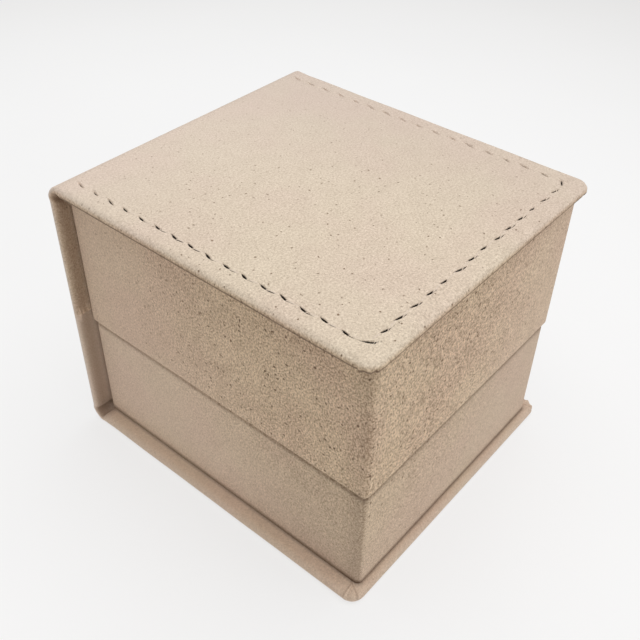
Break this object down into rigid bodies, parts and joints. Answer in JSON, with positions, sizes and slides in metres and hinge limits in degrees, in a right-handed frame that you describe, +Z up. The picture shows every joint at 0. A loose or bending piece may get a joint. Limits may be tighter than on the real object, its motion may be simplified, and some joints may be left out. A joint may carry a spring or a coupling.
{
  "type": "ring box",
  "caption": "Suede-covered ring box with a book-style cover, lid and base trays that meet rim to rim, and a lift-out cushion that grips a ring.",
  "frame": {"origin": "middle of the underside's bounding rectangle, on the surface that the box stands on", "axes": "+Z up, +X to the box's right seen from the front, front edge at -Y and spine at +Y"},
  "size_m": [0.06, 0.067, 0.0544],
  "materials": {
    "cover_suede": "beige microfibre suede, short nap",
    "tray_suede": "beige microfibre suede, short nap",
    "thread": "beige sewing thread, slight sheen",
    "greyboard": "matt grey board",
    "lining": "soft cream lining, fine nap",
    "cushion": "cream velvet over foam",
    "magnet": "plated magnet"
  },
  "bodies": {
    "base": {"bottom_board": "greyboard", "bottom_liner": "greyboard", "bottom_suede": "cover_suede", "bottom_fold": "cover_suede", "base_floor": "greyboard", "base_front_wall": "greyboard", "base_back_wall": "greyboard", "base_left_wall": "greyboard", "base_right_wall": "greyboard", "base_wrap": "tray_suede", "base_lining": "lining", "base_magnet": "magnet"},
    "spine": {"spine_board": "greyboard", "spine_lining": "lining", "spine_suede": "cover_suede"},
    "lid": {"top_board": "greyboard", "top_liner": "greyboard", "top_suede": "cover_suede", "top_thread": "thread", "top_fold": "cover_suede", "lid_roof": "greyboard", "lid_front_wall": "greyboard", "lid_back_wall": "greyboard", "lid_left_wall": "greyboard", "lid_right_wall": "greyboard", "lid_wrap": "tray_suede", "lid_lining": "lining", "lid_pad": "lining", "lid_magnet": "magnet"},
    "cushion": {"cushion_card": "greyboard", "cushion_front_roll": "cushion", "cushion_back_roll": "cushion"}
  },
  "joints": [
    {"name": "spine_fold", "type": "hinge", "parent": "base", "child": "spine", "pos_m": [0, 0.0324, 0.0011], "axis": [-1, 0, 0], "range_deg": [0, 90], "deforming": ["bottom_fold"]},
    {"name": "lid_hinge", "type": "hinge", "parent": "spine", "child": "lid", "pos_m": [0, 0.0324, 0.0533], "axis": [-1, 0, 0], "range_deg": [0, 90], "deforming": ["top_fold"]},
    {"name": "cushion_lift", "type": "slide", "parent": "base", "child": "cushion", "axis": [0, 0, 1], "range_m": [0, 0.02]}
  ]
}
